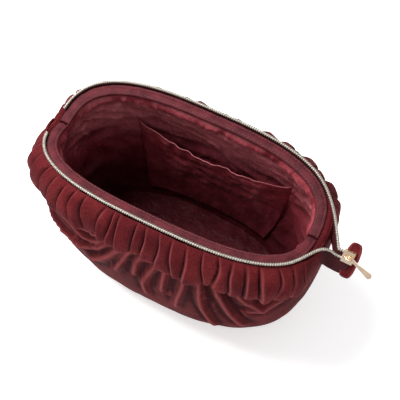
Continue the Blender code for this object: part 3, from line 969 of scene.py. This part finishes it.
# Where each side's teeth end at the left, leave the frame at the right, and how they swing out.
ZIP_TIPS = {-1: 17, 1: 8.5}
TAIL_LEAVES = {-1: 26, 1: 46}
TAIL_SWING = {-1: 16, 1: 26}
TAIL_ENTRY = {-1: (-12, 1, 6), 1: (-9, 14, 4)}

# How each side's tape turns on the tail (degrees from the across line), and its width along it.
TAIL_TAPE_TURN = {-1: -117, 1: -122}
TAIL_TAPE_PLACES = (0, 0.35, 0.7, 1)
TAIL_TAPE_WIDTHS = {-1: (7.8, 9, 12.5, 13), 1: (7.8, 9.5, 8, 3)}


def core_parts(path, radius):
    """The cord inside the teeth."""
    return swept_parts(path, radius, 8)


def zip_path(side):
    """The teeth's line: from the left gusset round the frame, then free to the slider and tab.

    Returns the points, and for each the way its tape hangs from it and how wide.
    """
    tip_y, leave_y = ZIP_TIPS[side], TAIL_LEAVES[side]
    left, right = pi - rim_angle(tip_y), rim_angle(leave_y)
    angles = rim_run(ZIP_TIP_Y)[::-1]
    angles = angles[(angles >= right) & (angles <= left)]
    round_rim = rim_points(side, angles, COIL_RISE)

    frame_end = round_rim[-1]
    heading = round_rim[-1] - round_rim[-3]
    heading /= np.linalg.norm(heading)
    start = tail_points(TAIL_STRAIGHT_X, side * TAIL_COIL_OFFSET)
    out = frame_end + heading * TAIL_SWING[side]
    near = start + np.array(TAIL_ENTRY[side])
    u = np.linspace(0, 1, 44)[1:-1, None]
    v = 1 - u
    bend = v**3 * frame_end + 3 * v * v * u * out + 3 * v * u * u * near + u**3 * start
    straight = tail_points(np.linspace(TAIL_STRAIGHT_X, TAIL_END_X, 12), side * TAIL_COIL_OFFSET)
    down = np.array([0, 0, -1.0])
    count = len(bend) + len(straight)
    shares = np.linspace(0, 1, count)
    turns = np.radians(-90 + (TAIL_TAPE_TURN[side] + 90) * eased(shares / 0.7))
    tail_hang = np.stack([0 * turns, np.cos(turns), np.sin(turns)], axis=1)
    hang = np.concatenate([[down] * len(round_rim), tail_hang])
    tail_width = keyed(shares, TAIL_TAPE_PLACES, TAIL_TAPE_WIDTHS[side])
    width = np.concatenate([[TAPE_TOP - TAPE_FOOT] * len(round_rim), tail_width])
    return np.concatenate([round_rim, bend, straight]), hang, width


def build_zip(side, word):
    """One side's tape and teeth in one piece, from the left gusset to the tail's tab."""
    path, hang, width = zip_path(side)
    ahead = np.gradient(path, axis=0)
    ahead /= np.linalg.norm(ahead, axis=1)[:, None]
    hang = hang - (hang * ahead).sum(axis=1)[:, None] * ahead
    hang /= np.linalg.norm(hang, axis=1)[:, None]
    reach = 0.9 + width[:, None] * np.linspace(0, 1, 8)[None]
    ripple = np.sin(np.arange(len(path)) * 0.9)[:, None] * 0.1
    sideways = np.cross(ahead, hang)
    points = path[:, None] + hang[:, None] * reach[..., None] + (sideways * ripple)[:, None]
    tape = grid_object(f"zip_{word}_tape", points)
    thicken(tape, 0.9)
    dress(tape, "tape")
    turn_with(tape)
    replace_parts(tape, f"{word}_zip_tape", f"{word}_tape_end", f"{word}_tail_tape")

    coil = joined_object(f"zip_{word}_teeth", [coil_parts(path, COIL_RADIUS), core_parts(path, 0.7)])
    dress(coil, "coil")
    turn_with(coil)
    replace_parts(coil, f"{word}_zip_coil", f"{word}_coil_end", f"{word}_tail_coil")


def build_tab():
    """The folded velvet tab under the slider: a soft flat roll with its fold line round it."""
    along = np.linspace(-1, 1, 61)[:, None]
    turn = np.linspace(0, 2 * pi, 49)[:-1][None]
    half_x, half_lift = oval(TAB_LENGTH / 2 + 0.5, TAB_THICKNESS / 2, 4.0, turn)
    narrow = (1 - np.abs(along) ** 3.4) ** 0.42 * 0.8 + 0.2
    thin = (1 - np.abs(along) ** 8) ** 0.5 * 0.7 + 0.3
    groove = 0.9 * bell(half_lift, 0, 0.5)
    x = TAB_START_X - TAB_UNDER + TAB_LENGTH / 2 + (half_x - np.sign(half_x) * groove) * narrow
    stitched = 0.3 * bell(np.abs(along), 0.8, 0.04)
    lift = half_lift * (thin - stitched) - TAB_BELOW
    points = tail_points(x, along * TAB_WIDTH / 2 + TAB_ACROSS, lift)
    points = points + 0.4 * noise_at(points, 6, 60)[..., None] * np.array([0, -0.7, 0.7])
    item = grid_object("velvet_tail_tab", points, wrap=True)
    # Painted highlight along the tab's folded edges.
    edge = bell(np.abs(half_x), TAB_LENGTH / 2, 0.8)
    give_share(item, "painted_highlight", 0.5 * edge * (1 + 0 * along))
    thicken(outward(item), TAB_SHEET)
    dress(item, "velvet")
    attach(item, "base")
    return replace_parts(item, "tail_tab")


# ---------------------------------------------------------------- the set


def area_light(name, place, aim, size, power):
    lamp = bpy.data.lights.new(name, "AREA")
    lamp.shape = "SQUARE"
    lamp.size = size
    lamp.energy = power
    item = bpy.data.objects.new(name, lamp)
    item.location = place
    item.rotation_mode = "QUATERNION"
    item.rotation_quaternion = (Vector(aim) - Vector(place)).to_track_quat("-Z", "Y")
    bpy.context.scene.collection.objects.link(item)


def build_set():
    world = bpy.data.worlds.new("studio")
    world.use_nodes = True
    world.node_tree.nodes["Background"].inputs["Color"].default_value = (1, 1, 1, 1)
    world.node_tree.nodes["Background"].inputs["Strength"].default_value = 0.5
    bpy.context.scene.world = world
    bpy.context.scene.view_settings.view_transform = "Standard"
    half = 4000
    corners = [(-half, -half, 0), (half, -half, 0), (half, half, 0), (-half, half, 0)]
    floor = mesh_object("floor", corners, [(0, 1, 2, 3)])
    floor.data.materials.append(floor_finish())
    area_light("key", (-0.7, -0.05, 1.25), (0, 0, 0.08), 0.7, 29)
    area_light("fill", (0.6, -1.1, 0.9), (0, 0, 0.05), 1.0, 2)


def build_camera():
    """The photograph's view: 28 degrees round to the right and 60 degrees above the floor."""
    azimuth, elevation, distance = radians(28.35), radians(60.15), 0.9
    back = Vector((sin(azimuth) * cos(elevation), -cos(azimuth) * cos(elevation), sin(elevation)))
    camera = bpy.data.cameras.new("camera")
    camera.lens = 100.15
    camera.sensor_width = 36
    camera.shift_x = 0.039
    camera.shift_y = 0.038
    camera.clip_end = 20
    item = bpy.data.objects.new("camera", camera)
    item.location = Vector((0, 0, 0.07)) + back * distance
    item.rotation_mode = "QUATERNION"
    item.rotation_quaternion = (-back).to_track_quat("-Z", "Y")
    bpy.context.scene.collection.objects.link(item)
    bpy.context.scene.camera = item


# CAD nodes that are shown as they are, and their finish.
KEPT_NODES = {"base_board": "board", "slider_body": "gold", "slider_bridge": "gold", "pull_tab": "gold"}


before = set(bpy.data.objects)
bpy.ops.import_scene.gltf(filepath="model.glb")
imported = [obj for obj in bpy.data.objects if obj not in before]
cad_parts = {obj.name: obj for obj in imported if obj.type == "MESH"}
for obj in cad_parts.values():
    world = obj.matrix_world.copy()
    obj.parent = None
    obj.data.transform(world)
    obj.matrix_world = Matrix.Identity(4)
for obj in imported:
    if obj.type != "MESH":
        bpy.data.objects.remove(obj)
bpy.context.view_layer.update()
FINISHES.update(velvet=velvet_finish(), satin=satin_finish(), casing=casing_finish(), tape=tape_finish(),
                coil=coil_finish(), gold=gold_finish(), board=board_finish(), thread=thread_finish())
build_set()
build_camera()
build_base()
build_lining_floor()
for side, word in SIDES:
    build_body(side, word)
    build_band(side, word)
    build_lining(side, word)
    build_casing(side, word)
    build_topstitching(side, word)
    build_zip(side, word)
build_pocket(-1, "front", top=107, gape=18)
build_pocket(1, "back", top=96, gape=15)
build_tab()
for node, kind in KEPT_NODES.items():
    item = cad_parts[node]
    item.data.materials.clear()
    item.data.materials.append(FINISHES[kind])
